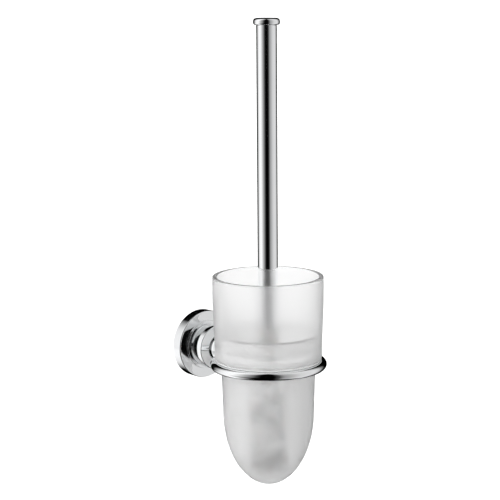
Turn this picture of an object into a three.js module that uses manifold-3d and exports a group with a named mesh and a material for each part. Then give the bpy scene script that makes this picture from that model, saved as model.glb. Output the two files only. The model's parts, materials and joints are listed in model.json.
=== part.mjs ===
// Wall-mounted toilet brush holder: a chromed rosette and post carry a round-wire ring, a frosted
// glass cup with a plastic liner hangs in the ring, and a chromed brush stands in the cup.
// Millimetres, +Z up. The wall is the plane y = 0 and the room is on its -Y side.
// The origin is the centre of the wall bracket's back face.
import * as THREE from "three";
import { mergeVertices } from "three/addons/utils/BufferGeometryUtils.js";
import Module from "manifold-3d";

const wasm = await Module();
wasm.setup();

// ---- driving dimensions ----
const GAP = 0.3; // running and assembly clearance between neighbours

const ROSETTE_R = 30;
const ROSETTE_T = 9.8; // how far the large disc stands off the wall
const STEP_R = 21.5;
const STEP_T = 11.3;
const SHELL = 1.5; // thickness of the rosette's pressed shell

const PLATE_R = 26;
const PLATE_T = 3;
const SCREW_Z = 16; // the two wall screws sit this far above and below the centre
const BOSS_R = 11.7;
const BOSS_END = 18.5;
const GRUB_T = 14.8; // distance of the grub screw's axis from the wall

const POST_BASE_R = 18.8;
const POST_R = 20;
const POST_SIDE_END = 26; // where the barrel-shaped side ends and the conical front starts
const POST_END = 28.2;
const POST_BORE_R = BOSS_R + GAP;
const POST_BORE_END = 22;

const ARM_R = 12;
const ARM_END_R = 8;
const ARM_END = 45.6;
const BOLT_R = 3;

const CUP_OUT = 93; // distance of the cup's axis from the wall
const RING_R = 46;
const WIRE_R = 3.75;
const RING_Z = -2.5;
const SEAT_T = 1; // thickness of the soft seat ring between the wire and the glass

const RIM_Z = 73.5;
const RIM_R = 47;
const GLASS = 3.8; // wall of the glass cup
const SHOULDER_R = 45.5;
const BODY_R = 38.8; // outside radius where the rounded end starts
const NOSE_Z = -45; // height where the rounded end starts
const NOSE_H = 63.2; // height of the rounded end

const LINER = 1.6; // wall of the plastic liner
const LINER_TOP = 25;

const HANDLE_R = 8.55;
const TUBE_WALL = 1;
const TUBE_LOW = 30;
const TUBE_HIGH = 283.1;
const KNOB_R = 11.1;
const KNOB_T = 5.6;

const BRISTLE_R = 16.5;
const BRISTLE_EDGE = 5; // radius of the rounded lower edge of the head
const BRISTLE_TOP = -28;
const BRISTLE_LOW = -95;
const BRISTLE_STEP = 10; // pitch of the rows of tufts
const BRISTLE_ROWS = 5;
const HUB_R = 6.5;
const STUD_R = 4;

// ---- colours of the materials ----
const chrome = { color: 0xd8dadc, roughness: 0.06, metalness: 1 };
const steel = { color: 0x9c9ea0, roughness: 0.35, metalness: 1 };
const brass = { color: 0xb89a5a, roughness: 0.35, metalness: 1 };
const frosted = { color: 0xeef2f2, roughness: 0.55, metalness: 0 };
const liner = { color: 0xf1f3f3, roughness: 0.45, metalness: 0 };
const nylon = { color: 0xb9bcbe, roughness: 0.6, metalness: 0 };
const white = { color: 0xf4f4f2, roughness: 0.5, metalness: 0 };
const soft = { color: 0xe6e8e8, roughness: 0.5, metalness: 0 };

// ---- helpers ----
// Points along an arc in a profile, from one angle to another in degrees.
function arc(cx, cy, radius, from, to, steps) {
  const points = [];
  for (let i = 0; i <= steps; i++) {
    const a = THREE.MathUtils.degToRad(from + ((to - from) * i) / steps);
    points.push([cx + radius * Math.cos(a), cy + radius * Math.sin(a)]);
  }
  return points;
}

// Welds shared vertices and drops the flat triangles that a lathe leaves at its axis.
function welded(geometry) {
  const bare = new THREE.BufferGeometry();
  bare.setAttribute("position", geometry.getAttribute("position"));
  bare.setIndex(geometry.getIndex());
  const merged = mergeVertices(bare, 1e-4);
  const all = merged.getIndex().array;
  const kept = [];
  for (let i = 0; i < all.length; i += 3) {
    const [a, b, c] = [all[i], all[i + 1], all[i + 2]];
    if (a !== b && b !== c && c !== a) kept.push(a, b, c);
  }
  merged.setIndex(kept);
  return merged;
}

// Turns the faces outwards if the enclosed volume comes out negative.
function facedOut(geometry) {
  const at = geometry.getAttribute("position");
  const index = geometry.getIndex().array;
  const [a, b, c] = [new THREE.Vector3(), new THREE.Vector3(), new THREE.Vector3()];
  let volume = 0;
  for (let i = 0; i < index.length; i += 3) {
    a.fromBufferAttribute(at, index[i]);
    b.fromBufferAttribute(at, index[i + 1]);
    c.fromBufferAttribute(at, index[i + 2]);
    volume += a.dot(b.cross(c));
  }
  if (volume < 0) geometry.setIndex(Array.from(index).reverse());
  return geometry;
}

// A solid of revolution about +Y from [radius, height] points.
function turned(profile, segments) {
  const points = profile.map(([r, y]) => new THREE.Vector2(r, y));
  return facedOut(welded(new THREE.LatheGeometry(points, segments)));
}

// A solid of revolution about the horizontal axis out of the wall, from [radius, distance] points.
function turnedFromWall(profile, segments) {
  return turned(profile.map(([r, t]) => [r, -t]), segments);
}

// A solid of revolution about the cup's upright axis, from [radius, height] points.
function turnedOnCup(profile, segments) {
  const geometry = turned(profile, segments);
  geometry.rotateX(Math.PI / 2);
  geometry.translate(0, -CUP_OUT, 0);
  return geometry;
}

function manifoldOf(geometry) {
  const mesh = facedOut(welded(geometry));
  return new wasm.Manifold(
    new wasm.Mesh({
      numProp: 3,
      vertProperties: new Float32Array(mesh.getAttribute("position").array),
      triVerts: new Uint32Array(mesh.getIndex().array),
    }),
  );
}

// The first geometry with the others cut out of it.
function cut(geometry, ...tools) {
  let solid = manifoldOf(geometry);
  for (const tool of tools) solid = solid.subtract(manifoldOf(tool));
  const mesh = solid.getMesh();
  const result = new THREE.BufferGeometry();
  result.setAttribute("position", new THREE.BufferAttribute(mesh.vertProperties, 3));
  result.setIndex(new THREE.BufferAttribute(mesh.triVerts, 1));
  return result;
}

// A cylinder or prism along Y, centred on a point.
function rodAlongY(radius, length, x, y, z, sides) {
  const geometry = new THREE.CylinderGeometry(radius, radius, length, sides);
  geometry.translate(x, y, z);
  return geometry;
}

// A cylinder or prism along Z, centred on a point.
function rodAlongZ(radius, length, x, y, z, sides) {
  const geometry = new THREE.CylinderGeometry(radius, radius, length, sides);
  geometry.rotateX(Math.PI / 2);
  geometry.translate(x, y, z);
  return geometry;
}

const object = new THREE.Group();

function add(name, geometry, look) {
  const mesh = new THREE.Mesh(geometry, new THREE.MeshStandardMaterial(look));
  mesh.name = name;
  object.add(mesh);
}

// ---- wall side ----
// Round plate with a grooved hollow boss that the post slides over, and two screw holes that widen
// at the back to clear the collars of the wall plugs.
function wallBracket() {
  const bossBore = 6.5;
  const bossFloor = 8;
  const grooveR = 10.2;
  const grooveHalf = 2.2;
  const screwHole = 2.5;
  const relief = 4;
  const reliefDepth = 1;
  const plate = turnedFromWall(
    [
      [0, 0],
      [PLATE_R, 0],
      [PLATE_R, PLATE_T - 0.5],
      [PLATE_R - 0.5, PLATE_T],
      [BOSS_R, PLATE_T],
      [BOSS_R, GRUB_T - grooveHalf],
      [grooveR, GRUB_T - grooveHalf],
      [grooveR, GRUB_T + grooveHalf],
      [BOSS_R, GRUB_T + grooveHalf],
      [BOSS_R, BOSS_END],
      [bossBore, BOSS_END],
      [bossBore, bossFloor],
      [0, bossFloor],
    ],
    32,
  );
  const holes = [-SCREW_Z, SCREW_Z].flatMap((z) => [
    rodAlongY(screwHole, 4 * PLATE_T, 0, 0, z, 16),
    rodAlongY(relief, 2 * reliefDepth, 0, 0, z, 16),
  ]);
  return cut(plate, ...holes);
}

// Pan-head wall screw with a cross recess and a pointed end.
function wallScrew(z) {
  const under = PLATE_T + GAP;
  const top = under + 2.6;
  const body = turnedFromWall(
    [
      [0, top],
      [2.2, top],
      [3.2, top - 0.6],
      [3.6, top - 1.5],
      [3.6, under],
      [2, under],
      [2, -14],
      [0, -17.5],
    ],
    16,
  );
  body.translate(0, 0, z);
  const slots = [
    [3.6, 0.9],
    [0.9, 3.6],
  ].map(([w, h]) => new THREE.BoxGeometry(w, 3, h).translate(0, -top, z));
  return cut(body, ...slots);
}

// Sleeve plug with a collar that stops it at the wall's surface.
function wallPlug(z) {
  const sleeve = turnedFromWall(
    [
      [2.3, -GAP],
      [3.6, -GAP],
      [3.6, -1.2],
      [3, -1.2],
      [3, -16.5],
      [2.7, -18],
      [2.3, -18],
      [2.3, -GAP],
    ],
    16,
  );
  sleeve.translate(0, 0, z);
  return sleeve;
}

// Pressed cover of two stepped discs, open at the back.
function rosette() {
  const mouth = BOSS_R + 1.3;
  return turnedFromWall(
    [
      [ROSETTE_R, 0],
      ...arc(ROSETTE_R - 1, ROSETTE_T - 1, 1, 0, 90, 3),
      [STEP_R, ROSETTE_T],
      ...arc(STEP_R - 0.4, STEP_T - 0.4, 0.4, 0, 90, 2),
      [mouth, STEP_T],
      [mouth, STEP_T - SHELL],
      [STEP_R - SHELL, STEP_T - SHELL],
      [STEP_R - SHELL, ROSETTE_T - SHELL],
      [ROSETTE_R - SHELL, ROSETTE_T - SHELL],
      [ROSETTE_R - SHELL, 0],
      [ROSETTE_R, 0],
    ],
    40,
  );
}

// Barrel-shaped post with a conical front, bored from the back to fit over the bracket's boss.
function post() {
  const edge = 1;
  const start = STEP_T + GAP;
  const boltHole = BOLT_R + GAP;
  const body = turnedFromWall(
    [
      [POST_BORE_R, start],
      [POST_BASE_R, start],
      [POST_R - 0.5, start + 3.6],
      [POST_R, start + 8],
      ...arc(POST_R - edge - 0.1, POST_SIDE_END - edge, edge, 0, 75, 2),
      [ARM_R + 0.4, POST_END],
      [boltHole, POST_END],
      [boltHole, POST_BORE_END],
      [POST_BORE_R, POST_BORE_END],
      [POST_BORE_R, start],
    ],
    40,
  );
  return cut(body, rodAlongZ(2.3, 14, 0, -GRUB_T, -16, 16));
}

// Headless hexagon-socket screw in the underside of the post; its cone bears in the boss's groove.
function postGrubScrew() {
  const inner = -10.6;
  const outer = -17;
  const body = turned(
    [
      [0, inner],
      [1.1, inner],
      [2, inner - 0.9],
      [2, outer + 0.3],
      [1.7, outer],
      [0, outer],
    ],
    16,
  );
  body.rotateX(Math.PI / 2);
  body.translate(0, -GRUB_T, 0);
  return cut(body, rodAlongZ(1.15, 5, 0, -GRUB_T, outer, 6));
}

// Socket-head bolt that pulls the ring's arm against the post from inside it.
function armBolt() {
  const headEnd = POST_BORE_END - GAP;
  const headStart = headEnd - 4;
  const body = turnedFromWall(
    [
      [0, headStart],
      [4.7, headStart],
      [5, headStart + 0.3],
      [5, headEnd],
      [BOLT_R, headEnd],
      [BOLT_R, 37],
      [BOLT_R - 0.6, 37.8],
      [0, 37.8],
    ],
    20,
  );
  return cut(body, rodAlongY(2.3, 5, 0, -headStart, 0, 6));
}

// Round arm that narrows to a saddle across its end, brazed to the ring's wire.
function ringArm() {
  const start = POST_END + GAP;
  const bore = BOLT_R + GAP;
  const boreEnd = 38.6;
  const body = turnedFromWall(
    [
      [bore, start],
      [ARM_R, start],
      [ARM_R, start + 3],
      [ARM_END_R + 0.2, ARM_END - 0.8],
      [ARM_END_R - 0.8, ARM_END],
      [0, ARM_END],
      [0, boreEnd],
      [bore, boreEnd],
      [bore, start],
    ],
    32,
  );
  const saddle = new THREE.TorusGeometry(RING_R, WIRE_R + GAP, 16, 96);
  saddle.translate(0, -CUP_OUT, RING_Z);
  return cut(body, saddle);
}

function holderRing() {
  const ring = new THREE.TorusGeometry(RING_R, WIRE_R, 12, 48);
  ring.translate(0, -CUP_OUT, RING_Z);
  return facedOut(welded(ring));
}

// Thin soft band lying over the wire's upper inner side, where the glass rests.
function seatRing() {
  const inner = WIRE_R + GAP;
  return turnedOnCup(
    [
      ...arc(RING_R, RING_Z, inner, 100, 185, 4),
      ...arc(RING_R, RING_Z, inner + SEAT_T, 185, 100, 4),
      arc(RING_R, RING_Z, inner, 100, 100, 1)[0],
    ],
    48,
  );
}

// ---- cup and liner ----
// Outside of the rounded lower end, from where it starts down to its tip, shrunk by an inset.
function nose(inset, drop, steps) {
  return arc(0, 0, 1, 0, -90, steps).map(([x, y]) => [
    (BODY_R - inset) * x,
    NOSE_Z + (NOSE_H - drop) * y,
  ]);
}

// Bullet-shaped cup: a wide upper cylinder, a coved shoulder that sits on the ring, a rounded end.
function glassCup() {
  const cove = WIRE_R + SEAT_T + 2 * GAP;
  const lip = 1.2;
  const tip = 4.4; // thickness of the glass at the bottom
  return turnedOnCup(
    [
      ...nose(GLASS - 0.1, tip, 5).reverse(),
      [36, -10],
      [36, -3],
      [38.4, 2],
      [SHOULDER_R - GLASS, 8],
      [42.4, 27],
      [RIM_R - GLASS, 52],
      ...arc(RIM_R - GLASS + lip, RIM_Z - lip, lip, 180, 90, 2),
      ...arc(RIM_R - lip, RIM_Z - lip, lip, 90, 0, 2),
      [RIM_R, 52],
      [46.2, 27],
      [SHOULDER_R + 0.1, 4.4],
      ...arc(RING_R, RING_Z, cove, 98, 180, 4),
      [39.8, -10],
      ...nose(0, 0, 7),
    ],
    40,
  );
}

// Thin liner with the inside shape of the glass: its rim stands a third of the way up the cup.
function cupLiner() {
  const out = GLASS + 0.35; // from the outside of the glass to the outside of the liner
  const inside = out + LINER;
  const drop = 4.9;
  return turnedOnCup(
    [
      ...nose(inside - 0.1, drop + LINER, 5).reverse(),
      [33.95, -10],
      [33.95, -2.2],
      [36.4, 2.8],
      [39.6, 8.8],
      [40.3, LINER_TOP],
      [41.85, LINER_TOP],
      [41.2, 8.2],
      [38, 2.2],
      [35.55, -2.8],
      [35.55, -10],
      ...nose(out - 0.05, drop, 5),
    ],
    40,
  );
}

// ---- brush ----
function handleTube() {
  const bore = HANDLE_R - TUBE_WALL;
  return turnedOnCup(
    [
      [bore, TUBE_LOW],
      [HANDLE_R, TUBE_LOW],
      [HANDLE_R, TUBE_HIGH],
      [bore, TUBE_HIGH],
      [bore, TUBE_LOW],
    ],
    32,
  );
}

// Round-edged end knob with a spigot that presses into the tube.
function handleKnob() {
  const spigot = HANDLE_R - TUBE_WALL - GAP;
  const low = TUBE_HIGH + GAP;
  const round = KNOB_T / 2;
  return turnedOnCup(
    [
      [0, low - 15],
      [spigot - 0.6, low - 15],
      [spigot, low - 14.2],
      [spigot, low],
      ...arc(KNOB_R - round, low + round, round, -90, 90, 6),
      [0, low + KNOB_T],
    ],
    32,
  );
}

// Threaded bush fixed in the lower end of the tube.
function tubeBush() {
  const bore = STUD_R + GAP;
  const outer = HANDLE_R - TUBE_WALL - GAP;
  return turnedOnCup(
    [
      [bore, TUBE_LOW + 0.6],
      [outer, TUBE_LOW + 0.6],
      [outer, TUBE_LOW + 20.6],
      [bore, TUBE_LOW + 20.6],
      [bore, TUBE_LOW + 0.6],
    ],
    24,
  );
}

// Stud that screws the brush head to the handle.
function brushStud() {
  const low = 10.5;
  const high = TUBE_LOW + 18;
  const end = 0.8;
  return turnedOnCup(
    [
      [0, low],
      [STUD_R - end, low],
      [STUD_R, low + end],
      [STUD_R, high - end],
      [STUD_R - end, high],
      [0, high],
    ],
    20,
  );
}

const HUB_END = BRISTLE_TOP - BRISTLE_ROWS * BRISTLE_STEP;

// Moulded head: a collar under the tube, a tapered neck, and the hub that carries the tufts.
function brushCore() {
  const collar = TUBE_LOW - GAP;
  const bore = STUD_R + GAP;
  return turnedOnCup(
    [
      [0, HUB_END],
      [HUB_R - 2, HUB_END],
      [HUB_R, HUB_END + 2],
      [HUB_R, BRISTLE_TOP - 1],
      [HUB_R + 2.5, BRISTLE_TOP + 1],
      [HUB_R + 2.5, BRISTLE_TOP + 3],
      [HUB_R - 0.4, BRISTLE_TOP + 7],
      [HUB_R - 0.2, 8],
      [HANDLE_R - 0.9, collar - 5],
      [HANDLE_R, collar - 3.5],
      [HANDLE_R, collar],
      [bore, collar],
      [bore, 10.2],
      [0, 10.2],
    ],
    24,
  );
}

// One row of tufts as a plain ring round the hub.
function bristleRow(row) {
  const top = BRISTLE_TOP - row * BRISTLE_STEP - (row === 0 ? 1.5 : GAP);
  const low = BRISTLE_TOP - (row + 1) * BRISTLE_STEP;
  const hole = HUB_R + GAP;
  return turnedOnCup(
    [
      [hole, low],
      [BRISTLE_R, low],
      [BRISTLE_R, top],
      [hole, top],
      [hole, low],
    ],
    24,
  );
}

// The tufts on the end of the hub, as a round-edged cap.
function bristleTip() {
  const top = HUB_END - GAP;
  const flat = BRISTLE_R - BRISTLE_EDGE;
  const edge = arc(flat, BRISTLE_LOW + BRISTLE_EDGE, BRISTLE_EDGE, 0, -90, 4);
  return turnedOnCup([[0, top], [BRISTLE_R, top], ...edge, [0, BRISTLE_LOW]], 24);
}

// ---- assembly ----
add("wall_bracket", wallBracket(), steel);
add("wall_screw_upper", wallScrew(SCREW_Z), steel);
add("wall_screw_lower", wallScrew(-SCREW_Z), steel);
add("wall_plug_upper", wallPlug(SCREW_Z), nylon);
add("wall_plug_lower", wallPlug(-SCREW_Z), nylon);
add("rosette", rosette(), chrome);
add("post", post(), chrome);
add("post_grub_screw", postGrubScrew(), steel);
add("arm_bolt", armBolt(), steel);
add("ring_arm", ringArm(), chrome);
add("holder_ring", holderRing(), chrome);
add("seat_ring", seatRing(), soft);
add("glass_cup", glassCup(), frosted);
add("cup_liner", cupLiner(), liner);
add("handle_tube", handleTube(), chrome);
add("handle_knob", handleKnob(), chrome);
add("tube_bush", tubeBush(), brass);
add("brush_stud", brushStud(), steel);
add("brush_core", brushCore(), white);
for (let row = 0; row < BRISTLE_ROWS; row++) {
  add(`bristle_row_${row + 1}`, bristleRow(row), white);
}
add("bristle_tip", bristleTip(), white);

export default object;
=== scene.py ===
import json
import math
import random

import bmesh
import bpy
from mathutils import Matrix, Vector


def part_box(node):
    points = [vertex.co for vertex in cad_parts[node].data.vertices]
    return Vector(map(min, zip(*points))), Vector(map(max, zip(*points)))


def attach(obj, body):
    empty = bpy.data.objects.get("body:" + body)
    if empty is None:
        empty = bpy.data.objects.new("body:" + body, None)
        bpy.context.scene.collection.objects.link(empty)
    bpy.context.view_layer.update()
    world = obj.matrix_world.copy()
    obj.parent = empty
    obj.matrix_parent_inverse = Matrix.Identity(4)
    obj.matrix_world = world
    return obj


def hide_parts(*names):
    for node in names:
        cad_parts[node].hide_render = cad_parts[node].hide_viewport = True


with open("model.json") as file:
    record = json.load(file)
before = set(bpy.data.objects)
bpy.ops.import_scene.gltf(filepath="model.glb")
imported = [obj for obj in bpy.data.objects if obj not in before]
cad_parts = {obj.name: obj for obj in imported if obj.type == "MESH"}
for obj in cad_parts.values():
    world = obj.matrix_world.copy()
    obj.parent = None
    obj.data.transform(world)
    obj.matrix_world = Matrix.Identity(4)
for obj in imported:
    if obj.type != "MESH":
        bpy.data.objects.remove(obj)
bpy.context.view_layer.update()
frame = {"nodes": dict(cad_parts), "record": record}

random.seed(20)

# ---- sizes worked out from the frame ----
MM = 0.001
GAP = 0.3 * MM  # clearance that the frame keeps between neighbours


def across(node):
    """Radius of a turned node, from its width."""
    low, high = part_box(node)
    return (high.x - low.x) / 2


def out_of_wall(node):
    """How far a node's near and far ends are from the wall."""
    low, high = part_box(node)
    return -high.y, -low.y


def heights(node):
    low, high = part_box(node)
    return low.z, high.z


ROSETTE_R = across("rosette")
ROSETTE_OUT = out_of_wall("rosette")[1]
STEP = 1.5 * MM  # rise of the small disc over the large one
STEP_R = 21.5 * MM
SHELL = 1.5 * MM
POST_R = across("post")
POST_START, POST_OUT = out_of_wall("post")
POST_SIDE_OUT = 26 * MM  # where the post's side ends and its conical front starts
POST_BASE_R = 18.8 * MM
BOSS_R = 11.7 * MM
POST_BORE_R = BOSS_R + GAP
ARM_R = across("ring_arm")
ARM_END_R = 8 * MM
ARM_START, ARM_OUT = out_of_wall("ring_arm")
BOLT_HOLE_R = 3.3 * MM
GRUB_OUT = sum(out_of_wall("post_grub_screw")) / 2
GRUB_HOLE_R = 2.3 * MM

RING_LOW, RING_HIGH = heights("holder_ring")
WIRE_R = (RING_HIGH - RING_LOW) / 2
RING_Z = (RING_HIGH + RING_LOW) / 2
RING_R = across("holder_ring") - WIRE_R
CUP_Y = -sum(out_of_wall("holder_ring")) / 2
SEAT_T = 1 * MM

RIM_R = across("glass_cup")
TIP_Z, RIM_Z = heights("glass_cup")
GLASS = 3.8 * MM
BODY_R = 38.8 * MM  # outside of the glass where its rounded end starts
NOSE_Z = -45 * MM  # height where the rounded end starts
LINER_GAP = 0.35 * MM
LINER = 1.6 * MM
LINER_BOTTOM, LINER_TOP = heights("cup_liner")
# heights between which a look changes, and for a band of four, where it rises and where it falls
# the glass band that is made milkier as painted light over the shade above the ring
GLASS_LIGHTENED_BAND = (1 * MM, 5 * MM, 8 * MM, 14 * MM)
LINER_SHOULDER = (-9 * MM, -3 * MM, 11 * MM, 15 * MM)
LINER_END_FADE = (-84 * MM, -66 * MM)
# heights over which the painted shade at the end of the bristles fades out
BRISTLE_END_SHADE = (-77 * MM, -71 * MM)

TUBE_R = across("handle_tube")
TUBE_LOW, TUBE_HIGH = heights("handle_tube")
TUBE_WALL = 1 * MM
KNOB_R = across("handle_knob")
KNOB_SPIGOT, KNOB_TOP = heights("handle_knob")
CORE_LOW, CORE_HIGH = heights("brush_core")
HUB_R = 6.5 * MM

PLATE_R = across("wall_bracket")
BOSS_OUT = out_of_wall("wall_bracket")[1]
PLATE_T = 3 * MM
SCREW_Z = sum(heights("wall_screw_upper")) / 2

UPRIGHT = Matrix.Translation((0, CUP_Y, 0))  # turned pieces on the cup's axis
OUTWARD = Matrix.Rotation(math.pi / 2, 4, "X")  # turned pieces on the axis out of the wall

# ---- outlines ----
ARC_STEP = math.radians(7)


def polar(angle, radius=1.0, centre=(0, 0)):
    return (centre[0] + radius * math.cos(angle), centre[1] + radius * math.sin(angle))


def arc(centre, radius, start, end):
    """Points of an arc between two angles in degrees."""
    sweep = math.radians(end - start)
    steps = max(2, math.ceil(abs(sweep) / ARC_STEP))
    first = math.radians(start)
    return [polar(first + sweep * i / steps, radius, centre) for i in range(steps + 1)]


def ellipse_end(radius, top, bottom, steps=26):
    """Outline of a rounded end, from its widest place down to the axis."""
    points = []
    for i in range(steps + 1):
        angle = math.pi / 2 * i / steps
        points.append((radius * math.cos(angle), top + (bottom - top) * math.sin(angle)))
    return points[:-1] + [(0, bottom)]


def rounded_corner(before, corner, after):
    """The arc that rounds a corner, with a point beside each end that keeps flat sides flat."""
    here = Vector(corner[:2])
    back = Vector(before[:2]) - here
    ahead = Vector(after[:2]) - here
    half = back.angle(ahead) / 2
    reach = min(corner[2] / math.tan(half), 0.45 * back.length, 0.45 * ahead.length)
    radius = reach * math.tan(half)
    back.normalize()
    ahead.normalize()
    centre = here + (back + ahead).normalized() * radius / math.sin(half)
    start = here + back * reach
    sweep = math.pi - 2 * half
    if back.x * ahead.y - back.y * ahead.x > 0:
        sweep = -sweep
    first = math.atan2(start.y - centre.y, start.x - centre.x)
    steps = max(2, math.ceil(abs(sweep) / ARC_STEP))
    turn = [polar(first + sweep * i / steps, radius, centre) for i in range(steps + 1)]
    beside = 1.08 * reach
    return [tuple(here + back * beside), *turn, tuple(here + ahead * beside)]


def outline(corners, closed=True):
    """An outline from (radius, height) corners, where a third number rounds the corner."""
    points = []
    count = len(corners)
    for i, corner in enumerate(corners):
        is_end = not closed and i in (0, count - 1)
        if len(corner) == 2 or is_end:
            points.append(tuple(corner[:2]))
        else:
            points += rounded_corner(corners[i - 1], corner, corners[(i + 1) % count])
    return points


# ---- meshes ----
SEGMENTS = 160


def shade(mesh, sharp=35):
    """Smooth shading with sharp edges where two faces meet at more than an angle in degrees."""
    work = bmesh.new()
    work.from_mesh(mesh)
    for face in work.faces:
        face.smooth = True
    for edge in work.edges:
        if len(edge.link_faces) == 2:
            edge.smooth = edge.calc_face_angle(0) < math.radians(sharp)
    work.to_mesh(mesh)
    work.free()


def new_piece(name, work, place=None):
    """An object from a bmesh, moved to its place and shaded."""
    bmesh.ops.recalc_face_normals(work, faces=work.faces)
    mesh = bpy.data.meshes.new(name)
    work.to_mesh(mesh)
    work.free()
    if place is not None:
        mesh.transform(place)
    shade(mesh)
    piece = bpy.data.objects.new(name, mesh)
    bpy.context.scene.collection.objects.link(piece)
    return piece


def turned(name, points, place, closed=True, segments=SEGMENTS, relief=None):
    """A turned piece from (radius, height) points. relief(height, angle) may add to the radius."""
    work = bmesh.new()
    rings = []
    for radius, height in points:
        if radius < 1e-6:
            rings.append([work.verts.new((0, 0, height))])
            continue
        ring = []
        for i in range(segments):
            angle = 2 * math.pi * i / segments
            extra = relief(height, angle) if relief else 0
            ring.append(work.verts.new((*polar(angle, radius + extra), height)))
        rings.append(ring)
    following = rings[1:] + rings[:1] if closed else rings[1:]
    for low, high in zip(rings, following):
        for i in range(segments):
            j = (i + 1) % segments
            quad = [low[i % len(low)], low[j % len(low)], high[j % len(high)], high[i % len(high)]]
            corners = list(dict.fromkeys(quad))
            if len(corners) > 2:
                work.faces.new(corners)
    return new_piece(name, work, place)


def loop_band(name, radius, height, section, place):
    """A ring swept from a closed section of (outward, upward) points about the upright axis."""
    points = [(radius + out, height + up) for out, up in section]
    return turned(name, points, place, segments=288)


def prism(name, sides, radius, low, high, place, spin=0.0):
    """A plain prism along its own Z, used only to cut other pieces."""
    work = bmesh.new()
    ends = []
    for height in (low, high):
        angles = [spin + 2 * math.pi * i / sides for i in range(sides)]
        ends.append([work.verts.new((*polar(a, radius), height)) for a in angles])
    work.faces.new(ends[0])
    work.faces.new(ends[1])
    for i in range(sides):
        j = (i + 1) % sides
        work.faces.new([ends[0][i], ends[0][j], ends[1][j], ends[1][i]])
    return new_piece(name, work, place)


def bar(name, size, place):
    """A plain bar centred on its place, used only to cut other pieces."""
    work = bmesh.new()
    bmesh.ops.create_cube(work, size=1, matrix=Matrix.Diagonal((*size, 1)))
    return new_piece(name, work, place)


def carve(piece, *tools):
    """Cuts the tools out of a piece and removes them."""
    for tool in tools:
        cutter = piece.modifiers.new("cut", "BOOLEAN")
        cutter.operation = "DIFFERENCE"
        cutter.solver = "EXACT"
        cutter.object = tool
    bpy.context.view_layer.update()
    graph = bpy.context.evaluated_depsgraph_get()
    shape = bpy.data.meshes.new_from_object(piece.evaluated_get(graph))
    piece.modifiers.clear()
    piece.data = shape
    for tool in tools:
        bpy.data.objects.remove(tool)
    shade(shape)
    return piece


def thread(pitch, depth):
    """Relief of a screw thread: a triangular ridge that climbs one pitch each turn."""

    def relief(height, angle):
        phase = (height / pitch - angle / (2 * math.pi)) % 1
        return depth * max(0, 1 - abs(phase - 0.5) / 0.3)

    return relief


def steps_between(low, high, step):
    """Heights from low to high, about one step apart."""
    count = max(1, round(abs(high - low) / step))
    return [low + (high - low) * i / count for i in range(count + 1)]


# ---- material helpers ----
class Look:
    """A material whose nodes are added one by one around its Principled shader."""

    def __init__(self, name):
        self.material = bpy.data.materials.new(name)
        self.material.use_nodes = True
        self.tree = self.material.node_tree
        self.shader = self.tree.nodes["Principled BSDF"]
        self.place = self.add("ShaderNodeTexCoord").outputs["Object"]

    def add(self, kind, **settings):
        node = self.tree.nodes.new(kind)
        for key, value in settings.items():
            setattr(node, key, value)
        return node

    def link(self, source, target):
        self.tree.links.new(source, target)

    def set(self, **values):
        """Sets sockets of the shader; underscores stand for spaces."""
        for key, value in values.items():
            self.shader.inputs[key.replace("_", " ")].default_value = value

    def noise(self, scale, detail=3, stretch=None):
        """A noise value over the object, with details about 1 / scale metres wide."""
        node = self.add("ShaderNodeTexNoise")
        node.inputs["Scale"].default_value = scale
        node.inputs["Detail"].default_value = detail
        source = self.place
        if stretch:
            mapping = self.add("ShaderNodeMapping")
            mapping.inputs["Scale"].default_value = stretch
            self.link(source, mapping.inputs["Vector"])
            source = mapping.outputs["Vector"]
        self.link(source, node.inputs["Vector"])
        return node.outputs["Fac"]

    def spread(self, value, low, high, source_low=0.3, source_high=0.7):
        """A value stretched from one range to another."""
        node = self.add("ShaderNodeMapRange")
        node.inputs["From Min"].default_value = source_low
        node.inputs["From Max"].default_value = source_high
        node.inputs["To Min"].default_value = low
        node.inputs["To Max"].default_value = high
        self.link(value, node.inputs["Value"])
        return node.outputs["Result"]

    def math(self, operation, a, b):
        node = self.add("ShaderNodeMath", operation=operation)
        for socket, value in zip(node.inputs, (a, b)):
            if isinstance(value, (int, float)):
                socket.default_value = value
            else:
                self.link(value, socket)
        return node.outputs["Value"]

    def blend(self, factor, first, second):
        """A colour between two colours."""
        node = self.add("ShaderNodeMix", data_type="RGBA")
        self.link(factor, node.inputs["Factor"])
        for socket, value in ((node.inputs[6], first), (node.inputs[7], second)):
            socket.default_value = (*value, 1)
        return node.outputs[2]

    def height_mask(self, low, high):
        """0 below a height and 1 above another, over the object's own Z."""
        split = self.add("ShaderNodeSeparateXYZ")
        self.link(self.place, split.inputs["Vector"])
        return self.spread(split.outputs["Z"], 0, 1, low, high)

    def height_band(self, low, full_low, full_high, high):
        """1 between the two full heights, falling to 0 at the outer two."""
        rise = self.height_mask(low, full_low)
        return self.math("SUBTRACT", rise, self.height_mask(full_high, high))

    def bump(self, height, depth):
        """Bump of a real depth in metres."""
        node = self.add("ShaderNodeBump")
        node.inputs["Strength"].default_value = 1
        node.inputs["Distance"].default_value = depth
        self.link(height, node.inputs["Height"])
        self.link(node.outputs["Normal"], self.shader.inputs["Normal"])

    def drive(self, value, socket):
        self.link(value, self.shader.inputs[socket])


# ---- materials ----
def chrome_look():
    look = Look("chrome_plate")
    look.set(Metallic=1)
    tone = look.spread(look.noise(40, 2), 0, 1)
    look.drive(look.blend(tone, (0.9, 0.91, 0.92), (0.93, 0.935, 0.94)), "Base Color")
    smears = look.spread(look.noise(90, 5, (1, 1, 0.35)), 0.025, 0.06)
    look.drive(smears, "Roughness")
    look.bump(look.noise(55, 1), 0.000012)
    return look.material


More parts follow.
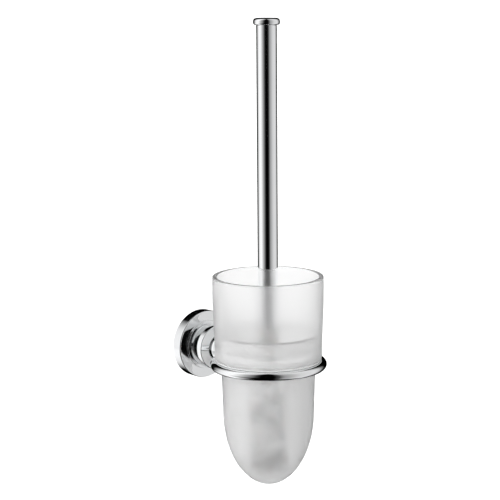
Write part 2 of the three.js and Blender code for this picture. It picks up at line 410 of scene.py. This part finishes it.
def bracket_look():
    look = Look("bracket_steel")
    look.set(Metallic=1)
    tint = look.spread(look.noise(120, 6), 0, 1)
    look.drive(look.blend(tint, (0.5, 0.51, 0.54), (0.68, 0.67, 0.63)), "Base Color")
    look.drive(look.spread(look.noise(700, 4), 0.28, 0.46), "Roughness")
    look.bump(look.noise(1500, 3), 0.00002)
    return look.material


def fastener_look():
    look = Look("fastener_steel")
    look.set(Metallic=1)
    tint = look.spread(look.noise(300, 5), 0, 1)
    look.drive(look.blend(tint, (0.46, 0.47, 0.49), (0.62, 0.62, 0.62)), "Base Color")
    look.drive(look.spread(look.noise(900, 4), 0.2, 0.38), "Roughness")
    look.bump(look.noise(2500, 2), 0.00001)
    return look.material


def plug_look():
    look = Look("plug_nylon")
    tint = look.spread(look.noise(200, 4), 0, 1)
    look.drive(look.blend(tint, (0.4, 0.41, 0.42), (0.47, 0.48, 0.49)), "Base Color")
    look.drive(look.spread(look.noise(800, 3), 0.42, 0.58), "Roughness")
    look.set(Subsurface_Weight=0.15, Subsurface_Scale=0.001)
    look.bump(look.noise(2200, 3), 0.00002)
    return look.material


def seat_look():
    look = Look("seat_plastic")
    look.set(Transmission_Weight=0.35, IOR=1.42)
    tint = look.spread(look.noise(150, 3), 0, 1)
    look.drive(look.blend(tint, (0.76, 0.78, 0.78), (0.84, 0.85, 0.85)), "Base Color")
    look.drive(look.spread(look.noise(500, 3), 0.18, 0.26), "Roughness")
    return look.material


def glass_look():
    """Satin-etched glass with a clear polished rim, made a little milkier at its shoulder as painted
    light that lightens the shade above the ring.
    """
    look = Look("frosted_glass")
    look.set(IOR=1.47)
    # painted light: this band lets less light through, so the glass's white shows more and lightens
    # the shade above the ring
    milky = look.height_band(*GLASS_LIGHTENED_BAND)
    look.drive(look.spread(milky, 0.94, 0.76, 0, 1), "Transmission Weight")
    mist = look.spread(look.noise(60, 4), 0, 1)
    look.drive(look.blend(mist, (0.985, 0.985, 0.985), (0.999, 0.999, 0.999)), "Base Color")
    polished = look.height_mask(RIM_Z - 1.5 * MM, RIM_Z - 0.9 * MM)
    etched = look.spread(look.noise(900, 4), 0.28, 0.33)
    clear = look.math("SUBTRACT", 1, polished)
    look.drive(look.math("MULTIPLY", etched, clear), "Roughness")
    grain = look.math("MULTIPLY", look.noise(3500, 2), clear)
    look.bump(grain, 0.000006)
    return look.material


def liner_look():
    """Cloudy plastic that lets much light straight through, denser at bead and edges, with painted
    shade: a dark line at the bead for the rim's shadow and a dark outline at grazing edges.
    """
    look = Look("liner_plastic")
    look.set(IOR=1.45)
    bead = look.height_mask(LINER_TOP - 1.7 * MM, LINER_TOP - 1 * MM)
    facing = look.add("ShaderNodeLayerWeight").outputs["Facing"]
    edge = look.spread(facing, 0, 1, 0.55, 0.9)
    clean = look.spread(look.noise(80, 4), 0.94, 1)
    # painted shade: the colour darkens at the bead, standing in for the rim's shadow, and at grazing
    # edges as a drawn dark outline
    dark = look.math("MAXIMUM", look.math("MULTIPLY", bead, 0.75), edge)
    tone = look.math("SUBTRACT", clean, dark)
    look.drive(look.blend(tone, (0.3, 0.3, 0.3), (0.99, 0.99, 0.99)), "Base Color")
    look.drive(look.spread(look.noise(600, 4), 0.32, 0.42), "Roughness")

    # how milky it is: cloudy on the sides, thinner in the rounded end and at the shoulder
    clouds = look.spread(look.noise(85, 4), 0.24, 0.54)
    end = look.spread(look.height_mask(*LINER_END_FADE), 0.5, 1, 0, 1)
    shoulder = look.spread(look.height_band(*LINER_SHOULDER), 1, 0.3, 0, 1)
    milk = look.math("MULTIPLY", clouds, look.math("MULTIPLY", end, shoulder))
    bead_milk = look.math("MULTIPLY", bead, 0.85)
    edge_milk = look.math("MULTIPLY", edge, 0.75)
    dense = look.math("MAXIMUM", bead_milk, edge_milk)
    look.drive(look.math("MAXIMUM", milk, dense), "Alpha")
    look.bump(look.noise(1800, 3), 0.00001)
    return look.material


def brass_look():
    look = Look("brass")
    look.set(Metallic=1)
    tint = look.spread(look.noise(160, 5), 0, 1)
    look.drive(look.blend(tint, (0.66, 0.5, 0.24), (0.8, 0.66, 0.36)), "Base Color")
    look.drive(look.spread(look.noise(1200, 3, (1, 1, 12)), 0.2, 0.36), "Roughness")
    look.bump(look.noise(900, 2, (1, 1, 14)), 0.000012)
    return look.material


def head_look():
    look = Look("head_plastic")
    tint = look.spread(look.noise(120, 4), 0, 1)
    look.drive(look.blend(tint, (0.42, 0.42, 0.41), (0.5, 0.5, 0.49)), "Base Color")
    look.drive(look.spread(look.noise(700, 3), 0.3, 0.42), "Roughness")
    look.set(Subsurface_Weight=0.2, Subsurface_Scale=0.002)
    look.bump(look.noise(1600, 3), 0.000015)
    return look.material


def bristle_look():
    """Pale bristles, with painted shade that turns them grey at the end of the head."""
    look = Look("bristles")
    tint = look.spread(look.noise(900, 3), 0, 0.45)
    # painted shade: below these heights the bristles turn dark, standing in for the shadow at the
    # end of the head
    above_end_shade = look.math("MULTIPLY", look.height_mask(*BRISTLE_END_SHADE), 0.55)
    tint_and_painted_shade = look.math("ADD", tint, above_end_shade)
    look.drive(look.blend(tint_and_painted_shade, (0.2, 0.2, 0.2), (0.92, 0.92, 0.91)), "Base Color")
    look.drive(look.spread(look.noise(2500, 2), 0.34, 0.5), "Roughness")
    look.set(Subsurface_Weight=0.25, Subsurface_Scale=0.001)
    return look.material


LOOKS = {
    "chrome_plate": chrome_look(),
    "bracket_steel": bracket_look(),
    "fastener_steel": fastener_look(),
    "plug_nylon": plug_look(),
    "seat_plastic": seat_look(),
    "frosted_glass": glass_look(),
    "liner_plastic": liner_look(),
    "brass": brass_look(),
    "head_plastic": head_look(),
    "bristles": bristle_look(),
}


def dress(piece, slot, body, *nodes):
    """Gives a piece its look, its body and the frame nodes that it stands for."""
    piece.data.materials.clear()
    piece.data.materials.append(LOOKS[slot])
    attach(piece, body)
    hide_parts(*nodes)


# ---- wall side ----
def build_rosette():
    """Pressed cover of two stepped discs, open at the back."""
    disc_out = ROSETTE_OUT - STEP
    mouth = BOSS_R + 1.3 * MM
    points = outline([
        (ROSETTE_R, 0, 0.2 * MM),
        (ROSETTE_R, disc_out, 1 * MM),
        (STEP_R, disc_out, 0.12 * MM),
        (STEP_R, ROSETTE_OUT, 0.4 * MM),
        (mouth, ROSETTE_OUT, 0.2 * MM),
        (mouth, ROSETTE_OUT - SHELL),
        (STEP_R - SHELL, ROSETTE_OUT - SHELL),
        (STEP_R - SHELL, disc_out - SHELL),
        (ROSETTE_R - SHELL, disc_out - SHELL, 0.6 * MM),
        (ROSETTE_R - SHELL, 0, 0.2 * MM),
    ])
    dress(turned("rosette_cover", points, OUTWARD), "chrome_plate", "wall_mount", "rosette")


def build_post():
    """Barrel-shaped post with a conical front and a hole for the grub screw in its underside."""
    bore_end = 22 * MM
    points = outline([
        (POST_BORE_R, POST_START),
        (POST_BASE_R, POST_START, 0.25 * MM),
        (POST_R, POST_START + 6.5 * MM, 40 * MM),
        (POST_R - 0.3 * MM, POST_SIDE_OUT, 0.9 * MM),
        (ARM_R + 0.4 * MM, POST_OUT, 0.25 * MM),
        (BOLT_HOLE_R, POST_OUT, 0.2 * MM),
        (BOLT_HOLE_R, bore_end),
        (POST_BORE_R, bore_end),
    ])
    post = turned("flared_post", points, OUTWARD)
    hole_place = Matrix.Translation((0, -GRUB_OUT, 0))
    hole = prism("grub_hole", 48, GRUB_HOLE_R, -23 * MM, -9 * MM, hole_place)
    dress(carve(post, hole), "chrome_plate", "wall_mount", "post")


def build_arm():
    """Round arm whose narrower end lies round the ring's wire, where it is brazed."""
    bore_end = 38.6 * MM
    points = outline([
        (BOLT_HOLE_R, ARM_START),
        (ARM_R, ARM_START, 0.25 * MM),
        (ARM_R, ARM_START + 3 * MM, 8 * MM),
        (ARM_END_R, ARM_OUT, 0.9 * MM),
        (0, ARM_OUT),
        (0, bore_end),
        (BOLT_HOLE_R, bore_end),
    ])
    arm = turned("arm_of_ring", points, OUTWARD)
    hollow = arc((0, 0), WIRE_R + 0.06 * MM, 0, 353)
    saddle = loop_band("saddle", RING_R, RING_Z, hollow, UPRIGHT)
    dress(carve(arm, saddle), "chrome_plate", "wall_mount", "ring_arm")


def build_ring():
    section = [polar(2 * math.pi * i / 56, WIRE_R) for i in range(56)]
    ring = loop_band("wire_ring", RING_R, RING_Z, section, UPRIGHT)
    dress(ring, "chrome_plate", "wall_mount", "holder_ring")


def build_seat():
    """Thin soft band over the wire, where the glass rests."""
    inner = WIRE_R + GAP
    outer = inner + SEAT_T
    section = arc((0, 0), inner, 100, 185) + arc((0, 0), outer, 185, 100)
    seat = loop_band("soft_seat", RING_R, RING_Z, section, UPRIGHT)
    dress(seat, "seat_plastic", "wall_mount", "seat_ring")


def build_bracket():
    """Zinc-plated plate with a grooved boss, two screw holes and reliefs at the back."""
    boss_bore = 6.5 * MM
    boss_floor = 8 * MM
    groove_r = 10.2 * MM
    groove_half = 2.2 * MM
    points = outline([
        (0, 0),
        (PLATE_R, 0, 0.4 * MM),
        (PLATE_R, PLATE_T, 0.5 * MM),
        (BOSS_R, PLATE_T, 0.5 * MM),
        (BOSS_R, GRUB_OUT - groove_half, 0.2 * MM),
        (groove_r, GRUB_OUT - groove_half, 0.4 * MM),
        (groove_r, GRUB_OUT + groove_half, 0.4 * MM),
        (BOSS_R, GRUB_OUT + groove_half, 0.2 * MM),
        (BOSS_R, BOSS_OUT, 0.4 * MM),
        (boss_bore, BOSS_OUT, 0.3 * MM),
        (boss_bore, boss_floor, 0.4 * MM),
        (0, boss_floor),
    ], closed=False)
    plate = turned("bracket_plate", points, OUTWARD, closed=False)
    holes = []
    for z in (-SCREW_Z, SCREW_Z):
        place = Matrix.Translation((0, 0, z)) @ OUTWARD
        holes.append(prism("screw_hole", 48, 2.5 * MM, -6 * MM, 6 * MM, place))
        holes.append(prism("collar_relief", 48, 4 * MM, -1 * MM, 1 * MM, place))
    dress(carve(plate, *holes), "bracket_steel", "wall_mount", "wall_bracket")


def build_wall_screw(node):
    """Pan-head screw with a cross recess and a real thread."""
    z = sum(heights(node)) / 2
    tip, top = out_of_wall(node)
    under = PLATE_T + GAP
    head_r = across(node)
    core_r = 1.45 * MM
    place = Matrix.Translation((0, 0, z)) @ OUTWARD
    shank = [(core_r, h) for h in steps_between(under - 1.2 * MM, tip + 3.5 * MM, 0.12 * MM)]
    points = [
        (0, top),
        (0.45 * head_r, top),
        *arc((0.45 * head_r, under + 0.5 * MM), 0.55 * head_r, 78, 0)[1:],
        (head_r, under),
        (1.9 * MM, under),
        *shank,
        (0.4 * MM, tip + 0.6 * MM),
        (0, tip),
    ]
    winding = thread(1.4 * MM, 0.5 * MM)

    def relief(height, angle):
        start = min(1, max(0, (under - 1 * MM - height) / (1 * MM)))
        taper = min(1, max(0, (height - tip) / (4 * MM)))
        return winding(height, angle) * start * taper

    body = turned(node + "_body", points, place, closed=False, segments=48, relief=relief)
    slot_place = place @ Matrix.Translation((0, 0, top)) @ Matrix.Rotation(0.35, 4, "Z")
    slots = [
        bar("slot", (3.8 * MM, 0.85 * MM, 2.6 * MM), slot_place),
        bar("slot", (0.85 * MM, 3.8 * MM, 2.6 * MM), slot_place),
    ]
    dress(carve(body, *slots), "fastener_steel", "wall_mount", node)


def build_wall_plug(node):
    """Nylon plug with a collar, barbed ridges and a split end."""
    z = sum(heights(node)) / 2
    inner, outer = out_of_wall(node)
    bore = 2.3 * MM
    sleeve_r = 2.75 * MM
    collar_r = across(node)
    start = outer - 0.9 * MM
    ridges = []
    for step in range(7):
        high = start - (1.2 + 2 * step) * MM
        ridges += [(sleeve_r, high), (3 * MM, high - 0.3 * MM), (sleeve_r, high - 1.5 * MM)]
    points = [
        (bore, outer),
        (collar_r, outer),
        (collar_r, start),
        (sleeve_r, start),
        *ridges,
        (sleeve_r, inner + 1.2 * MM),
        (bore + 0.25 * MM, inner),
        (bore, inner),
    ]
    place = Matrix.Translation((0, 0, z)) @ OUTWARD
    plug = turned(node + "_sleeve", points, place, segments=64)
    middle = (inner + start) / 2 - 1.5 * MM
    slit_place = place @ Matrix.Translation((0, 0, middle))
    slit = bar("slit", (9 * MM, 0.7 * MM, start - inner - 3 * MM), slit_place)
    dress(carve(plug, slit), "plug_nylon", "wall_mount", node)


def build_grub_screw():
    """Headless screw with a hexagon socket, seen in the underside of the post."""
    low, high = heights("post_grub_screw")
    radius = across("post_grub_screw")
    body = [(radius - 0.22 * MM, h) for h in steps_between(low + 0.35 * MM, high - 1 * MM, 0.1 * MM)]
    points = [(0, low), (radius - 0.4 * MM, low), *body, (radius - 0.9 * MM, high), (0, high)]
    winding = thread(0.7 * MM, 0.22 * MM)

    def relief(height, angle):
        inside = low + 0.3 * MM < height < high - 0.9 * MM
        return winding(height, angle) if inside else 0

    place = Matrix.Translation((0, -GRUB_OUT, 0))
    screw = turned("grub_screw_body", points, place, closed=False, segments=48, relief=relief)
    socket = prism("socket", 6, 1.15 * MM, low - 1 * MM, low + 2.5 * MM, place)
    dress(carve(screw, socket), "fastener_steel", "wall_mount", "post_grub_screw")


# ---- cup and liner ----
def build_glass():
    """Bullet-shaped cup with a coved shoulder that sits on the ring and a thick round lip."""
    lip = 1.3 * MM
    cove = WIRE_R + SEAT_T + 2 * GAP
    shoulder_r = 45.6 * MM
    outside = outline([
        (RIM_R - GLASS / 2, RIM_Z),
        (RIM_R, RIM_Z, lip),
        (RIM_R, 50 * MM, 60 * MM),
        (shoulder_r, 14 * MM, 60 * MM),
        (shoulder_r, 4.4 * MM, 2 * MM),
        (RING_R - 0.8 * MM, RING_Z + cove),
    ], closed=False)
    hollow = arc((RING_R, RING_Z), cove, 98, 180)
    neck = outline([hollow[-1], (39.9 * MM, -9 * MM, 14 * MM), (BODY_R, NOSE_Z)], closed=False)
    inside = outline([
        (36 * MM, -12 * MM),
        (36 * MM, -3 * MM, 5 * MM),
        (38.4 * MM, 2 * MM, 5 * MM),
        (shoulder_r - GLASS, 8 * MM, 5 * MM),
        (42 * MM, 16 * MM, 60 * MM),
        (RIM_R - GLASS, 50 * MM, 60 * MM),
        (RIM_R - GLASS, RIM_Z, lip),
        (RIM_R - GLASS / 2, RIM_Z),
    ], closed=False)
    floor_t = 4.4 * MM
    well = ellipse_end(BODY_R - GLASS + 0.1 * MM, NOSE_Z, TIP_Z + floor_t)
    points = outside[:-1] + hollow + neck[1:-1] + ellipse_end(BODY_R, NOSE_Z, TIP_Z)
    points += list(reversed(well)) + inside[:-1]
    cup = turned("etched_glass", points, UPRIGHT, segments=192)
    dress(cup, "frosted_glass", "cup", "glass_cup")


def build_liner():
    """Thin moulded liner that follows the inside of the glass, with a bead at its rim."""
    top = LINER_TOP
    gap = LINER_GAP
    outside = outline([
        (35.55 * MM, -12 * MM),
        (35.55 * MM, -2.8 * MM, 5 * MM),
        (38 * MM, 2.2 * MM, 5 * MM),
        (41.2 * MM, 8.2 * MM, 5 * MM),
        (41.85 * MM, top, 0.4 * MM),
        (40.9 * MM, top),
    ], closed=False)
    inside = outline([
        (40.9 * MM, top),
        (40.25 * MM, top, 0.4 * MM),
        (39.6 * MM, 8.8 * MM, 5 * MM),
        (36.4 * MM, 2.8 * MM, 5 * MM),
        (33.95 * MM, -2.2 * MM, 5 * MM),
        (33.95 * MM, -12 * MM),
    ], closed=False)
    shell_r = BODY_R - GLASS - gap + 0.05 * MM
    shell = ellipse_end(shell_r, NOSE_Z, LINER_BOTTOM)
    well = ellipse_end(shell_r - LINER + 0.05 * MM, NOSE_Z, LINER_BOTTOM + LINER)
    points = list(reversed(shell)) + outside[:-1] + inside + well
    liner = turned("moulded_liner", points, UPRIGHT, closed=False, segments=192)
    dress(liner, "liner_plastic", "liner", "cup_liner")


# ---- brush ----
def build_handle():
    bore = TUBE_R - TUBE_WALL
    points = outline([
        (bore, TUBE_LOW, 0.15 * MM),
        (TUBE_R, TUBE_LOW, 0.3 * MM),
        (TUBE_R, TUBE_HIGH, 0.12 * MM),
        (bore, TUBE_HIGH),
    ])
    dress(turned("polished_tube", points, UPRIGHT), "chrome_plate", "brush", "handle_tube")


def build_knob():
    """End knob with a full round edge and a spigot inside the tube."""
    spigot = TUBE_R - TUBE_WALL - GAP
    low = TUBE_HIGH + GAP
    edge = (KNOB_TOP - low) / 2
    points = outline([
        (0, KNOB_SPIGOT),
        (spigot, KNOB_SPIGOT, 0.6 * MM),
        (spigot, low),
        (KNOB_R, low, edge),
        (KNOB_R, KNOB_TOP, edge),
        (0, KNOB_TOP),
    ], closed=False)
    knob = turned("end_knob", points, UPRIGHT, closed=False)
    dress(knob, "chrome_plate", "brush", "handle_knob")


def build_core():
    """Moulded head with a collar, a tapered neck and the hub that holds the tufts."""
    bore = 4.3 * MM
    collar_r = across("brush_core")
    flange = HUB_R + 2.5 * MM
    flange_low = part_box("bristle_row_1")[1].z + 0.5 * MM
    points = outline([
        (0, CORE_LOW),
        (HUB_R, CORE_LOW, 1.5 * MM),
        (HUB_R, flange_low, 0.6 * MM),
        (flange, flange_low + 2 * MM, 0.5 * MM),
        (flange, flange_low + 4 * MM, 0.5 * MM),
        (HUB_R - 0.4 * MM, flange_low + 8 * MM, 4 * MM),
        (HUB_R - 0.2 * MM, 8 * MM, 20 * MM),
        (collar_r - 1.3 * MM, CORE_HIGH - 7 * MM, 3 * MM),
        (collar_r - 0.45 * MM, CORE_HIGH - 3.5 * MM, 0.4 * MM),
        (collar_r - 0.45 * MM, CORE_HIGH, 0.3 * MM),
        (bore, CORE_HIGH),
        (bore, 10.2 * MM),
        (0, 10.2 * MM),
    ], closed=False)
    core = turned("moulded_head", points, UPRIGHT, closed=False)
    dress(core, "head_plastic", "brush", "brush_core")


FILAMENT_R = 0.24 * MM
ROW_TUFTS = 12  # tufts in one circle of a row
ROW_FILAMENTS = 34  # bristles in one of them
END_FILAMENTS = 30  # bristles in a tuft at the end of the head


def bristle_reach(z):
    """Radius of the bristles' ends at a height: straight, with a rounded lower edge."""
    edge = 5 * MM
    down = max(0, heights("bristle_tip")[0] + edge - z) / edge
    return across("bristle_row_1") - edge * (1 - math.sqrt(max(0, 1 - down * down)))


def add_filament(work, root, tip, sag):
    """A thin three-sided bristle that bends a little on its way."""
    along = (tip - root).normalized()
    side = along.cross(Vector((0.3, 0.2, 1))).normalized() * FILAMENT_R
    other = along.cross(side)
    spin = random.uniform(0, 2)
    rings = []
    for share in (0, 0.55, 1):
        centre = root.lerp(tip, share) + sag * math.sin(math.pi * share * 0.8)
        ring = []
        for i in range(3):
            angle = spin + 2 * math.pi * i / 3
            ring.append(work.verts.new(centre + side * math.cos(angle) + other * math.sin(angle)))
        rings.append(ring)
    for low, high in zip(rings, rings[1:]):
        for i in range(3):
            j = (i + 1) % 3
            work.faces.new([low[i], low[j], high[j], high[i]])
    work.faces.new(rings[-1])
    work.faces.new(rings[0])


def scatter(amount):
    return random.uniform(-amount, amount)


def add_side_tuft(work, angle, z):
    """A bunch of bristles that leaves the side of the hub and opens towards its end."""
    middle = Vector((math.cos(angle), math.sin(angle), 0))
    across_it = Vector((-middle.y, middle.x, 0))
    for _ in range(ROW_FILAMENTS):
        offset, lift = scatter(1), scatter(1)
        root = middle * (HUB_R - 0.3 * MM) + across_it * offset * 0.8 * MM
        root.z = z + lift * 1.1 * MM
        end_angle = angle + offset * 0.11 + scatter(0.02)
        end_z = z + lift * 2.4 * MM + scatter(0.4 * MM)
        reach = bristle_reach(end_z) - 0.4 * MM - random.uniform(0, 1.1 * MM)
        tip = Vector((*polar(end_angle, reach), end_z))
        sag = Vector((scatter(0.25), scatter(0.25), scatter(0.3))) * MM
        add_filament(work, root, tip, sag)


def build_bristle_row(node):
    """Two staggered circles of tufts."""
    low, high = heights(node)
    work = bmesh.new()
    for circle in (0, 1):
        z = low + (high - low) * (0.26 + 0.48 * circle)
        for i in range(ROW_TUFTS):
            angle = 2 * math.pi * (i + 0.5 * circle) / ROW_TUFTS
            add_side_tuft(work, angle, z)
    tufts_piece = new_piece(node + "_tufts", work, UPRIGHT)
    dress(tufts_piece, "bristles", "brush", node)


def add_end_tuft(work, angle, root_r, reach, low, high, root_z):
    """A bunch of bristles from the end of the hub to points between two heights."""
    for _ in range(END_FILAMENTS):
        turn = angle + scatter(0.16)
        z = random.uniform(low, high)
        root = Vector((*polar(turn, root_r + scatter(0.6 * MM)), root_z))
        far = min(reach + scatter(1 * MM), bristle_reach(z) - random.uniform(0.4, 1.2) * MM)
        tip = Vector((*polar(turn, far), z))
        add_filament(work, root, tip, Vector((scatter(0.3), scatter(0.3), 0)) * MM)


def build_bristle_tip():
    """Tufts on the end of the hub that fan out to the full width of the head."""
    low, high = heights("bristle_tip")
    work = bmesh.new()
    # circles of tufts: how many, reach in mm, and where their ends lie, from bottom to top
    circles = (
        (1, 0, 0, 0.06),
        (7, 5, 0, 0.1),
        (12, 10, 0, 0.16),
        (16, 17, 0, 0.3),
        (16, 17, 0.25, 0.6),
        (16, 17, 0.55, 0.94),
    )
    for place, (count, reach, start, end) in enumerate(circles):
        root_r = min(place * 1.7 * MM, HUB_R - 1.2 * MM)
        ends = [low + (high - low) * share for share in (start, end)]
        for i in range(count):
            angle = 2 * math.pi * (i + 0.5 * place) / count
            add_end_tuft(work, angle, root_r, reach * MM, *ends, high)
    dress(new_piece("end_tufts", work, UPRIGHT), "bristles", "brush", "bristle_tip")


# ---- pieces that keep their frame shape ----
def dress_kept_nodes():
    """Gives the frame nodes that stay in view the look of their slot."""
    slots = {part["node"]: part["material_slot"] for part in frame["record"]["subparts"]}
    for name in ("arm_bolt", "tube_bush", "brush_stud"):
        mesh = frame["nodes"][name].data
        mesh.materials.clear()
        mesh.materials.append(LOOKS[slots[name]])


# ---- studio ----
CAMERA_TURN = math.radians(-40.73)  # left of the wall's normal
CAMERA_RISE = math.radians(9.99)
CAMERA_ROLL = math.radians(-0.43)
CAMERA_AT = Vector((-0.87649, -1.08806, 0.32930))
TOWARDS_CAMERA = Vector((
    math.sin(CAMERA_TURN) * math.cos(CAMERA_RISE),
    -math.cos(CAMERA_TURN) * math.cos(CAMERA_RISE),
    math.sin(CAMERA_RISE),
))
CAMERA_RIGHT = Vector((math.cos(CAMERA_TURN), math.sin(CAMERA_TURN), 0))


def build_camera():
    camera = bpy.data.objects.new("camera", bpy.data.cameras.new("camera"))
    bpy.context.scene.collection.objects.link(camera)
    up = TOWARDS_CAMERA.cross(CAMERA_RIGHT)
    right = math.cos(CAMERA_ROLL) * CAMERA_RIGHT + math.sin(CAMERA_ROLL) * up
    top = -math.sin(CAMERA_ROLL) * CAMERA_RIGHT + math.cos(CAMERA_ROLL) * up
    turn = Matrix((right, top, TOWARDS_CAMERA)).transposed().to_4x4()
    camera.matrix_world = Matrix.Translation(CAMERA_AT) @ turn
    camera.data.lens = 115.2
    camera.data.sensor_width = 36
    bpy.context.scene.camera = camera


def build_floor():
    """A wide plain floor. It lights the piece softly, and the chrome sees the studio instead."""
    work = bmesh.new()
    bmesh.ops.create_circle(work, cap_ends=True, segments=96, radius=60)
    floor = new_piece("floor", work, Matrix.Translation((0, 0, -0.42)))
    look = Look("floor_paint")
    tint = look.spread(look.noise(2, 3), 0, 1)
    look.drive(look.blend(tint, (0.86, 0.86, 0.86), (0.88, 0.88, 0.88)), "Base Color")
    look.set(Roughness=0.9)
    floor.data.materials.append(look.material)
    floor.visible_glossy = False
    floor.visible_transmission = False


# Brightness of the studio that the chrome sees, by angle from the camera in degrees, to its left
# (-) and right (+): a black screen round the camera, soft boxes at both sides, and black behind
# the piece.
STUDIO = (
    (-180, 0.0), (-134, 0.0), (-124, 0.3), (-108, 0.85), (-92, 1.05), (-74, 1.05), (-60, 0.76),
    (-47, 0.42), (-36, 0.24), (-25, 0.05), (-16, 0.001), (11, 0.001), (21, 0.07), (32, 0.34),
    (46, 0.46), (66, 0.68), (100, 0.78), (116, 0.6), (128, 0.2), (138, 0.0), (180, 0.0),
)


class Studio:
    """The world: a plain white studio for the camera, and lights and screens for reflections."""

    def __init__(self):
        world = bpy.data.worlds.new("studio")
        bpy.context.scene.world = world
        world.use_nodes = True
        self.tree = world.node_tree
        self.background = self.tree.nodes["Background"]
        self.direction = self.add("ShaderNodeTexCoord").outputs["Generated"]

    def add(self, kind, **settings):
        node = self.tree.nodes.new(kind)
        for key, value in settings.items():
            setattr(node, key, value)
        return node

    def link(self, source, target):
        self.tree.links.new(source, target)

    def along(self, axis):
        """How far the direction points along an axis, from -1 to 1."""
        node = self.add("ShaderNodeVectorMath", operation="DOT_PRODUCT")
        self.link(self.direction, node.inputs[0])
        node.inputs[1].default_value = axis
        return node.outputs["Value"]

    def math(self, operation, a, b=0.0):
        node = self.add("ShaderNodeMath", operation=operation)
        for socket, value in zip(node.inputs, (a, b)):
            if isinstance(value, (int, float)):
                socket.default_value = value
            else:
                self.link(value, socket)
        return node.outputs["Value"]

    def smooth(self, value, low, high):
        """0 to 1 between two values, with soft ends."""
        node = self.add("ShaderNodeMapRange", interpolation_type="SMOOTHSTEP")
        node.inputs["From Min"].default_value = low
        node.inputs["From Max"].default_value = high
        self.link(value, node.inputs["Value"])
        return node.outputs["Result"]

    def mix(self, factor, first, second):
        """A number between two numbers or sockets."""
        node = self.add("ShaderNodeMix", data_type="FLOAT")
        self.link(factor, node.inputs["Factor"])
        for socket, value in ((node.inputs[2], first), (node.inputs[3], second)):
            if isinstance(value, (int, float)):
                socket.default_value = value
            else:
                self.link(value, socket)
        return node.outputs[0]

    def round_the_piece(self):
        """Brightness by the angle round the piece, from the table."""
        side = self.along(CAMERA_RIGHT)
        front = self.along(Vector((TOWARDS_CAMERA.x, TOWARDS_CAMERA.y, 0)).normalized())
        angle = self.math("ARCTAN2", side, front)
        # on the left the black screen gets wider towards the floor
        low = self.smooth(self.along(Vector((0, 0, -1))), 0.19, 0.4)
        leftward = self.smooth(angle, 0, -0.5)
        widening = self.math("MULTIPLY", self.math("MULTIPLY", low, leftward), math.radians(18))
        angle = self.math("ADD", angle, widening)
        share = self.math("MULTIPLY_ADD", angle, 1 / (2 * math.pi))
        share.node.inputs[2].default_value = 0.5
        ramp = self.add("ShaderNodeValToRGB")
        ramp.color_ramp.interpolation = "LINEAR"
        stops = ramp.color_ramp.elements
        while len(stops) > 1:
            stops.remove(stops[0])
        for i, (degrees, light) in enumerate(STUDIO):
            place = degrees / 360 + 0.5
            stop = stops[0] if i == 0 else stops.new(place)
            stop.position = place
            stop.color = (light, light, light, 1)
        self.link(share, ramp.inputs["Fac"])
        return ramp.outputs["Color"]


def build_studio():
    studio = Studio()
    path = studio.add("ShaderNodeLightPath")
    upward = studio.along(Vector((0, 0, 1)))
    sideways = studio.along(CAMERA_RIGHT)

    # What the chrome sees: soft boxes and dark screens all round, and a dark floor under the piece.
    screens = studio.math("MULTIPLY", studio.round_the_piece(), studio.smooth(upward, -0.93, -0.8))

    # What shines through the glass: a bright sheet behind and below the piece.
    sheet_side = Vector((-TOWARDS_CAMERA.x, -TOWARDS_CAMERA.y, -0.55)).normalized()
    sheet = studio.smooth(studio.along(sheet_side), 0, 0.5)
    through = studio.math("MULTIPLY", sheet, path.outputs["Is Transmission Ray"])
    direct = studio.mix(through, screens, 1.06)

    # What lights the rough surfaces: soft light from above and from the left.
    above = studio.math("MULTIPLY", upward, 0.3)
    left = studio.math("MULTIPLY", sideways, -0.72)
    soft = studio.math("ADD", studio.math("ADD", above, left), 1.48)

    unscattered = studio.math("LESS_THAN", path.outputs["Diffuse Depth"], 0.5)
    shaped = studio.math("MULTIPLY", path.outputs["Is Glossy Ray"], unscattered)
    light = studio.mix(shaped, soft, direct)
    shown = studio.mix(path.outputs["Is Camera Ray"], light, 1.0)
    studio.link(shown, studio.background.inputs["Color"])


# ---- build ----
build_rosette()
build_post()
build_arm()
build_ring()
build_seat()
build_bracket()
for level in ("upper", "lower"):
    build_wall_screw("wall_screw_" + level)
    build_wall_plug("wall_plug_" + level)
build_grub_screw()
build_glass()
build_liner()
build_handle()
build_knob()
build_core()
for row in range(1, 6):
    build_bristle_row(f"bristle_row_{row}")
build_bristle_tip()
dress_kept_nodes()
build_camera()
build_floor()
build_studio()
bpy.context.scene.view_settings.view_transform = "Standard"
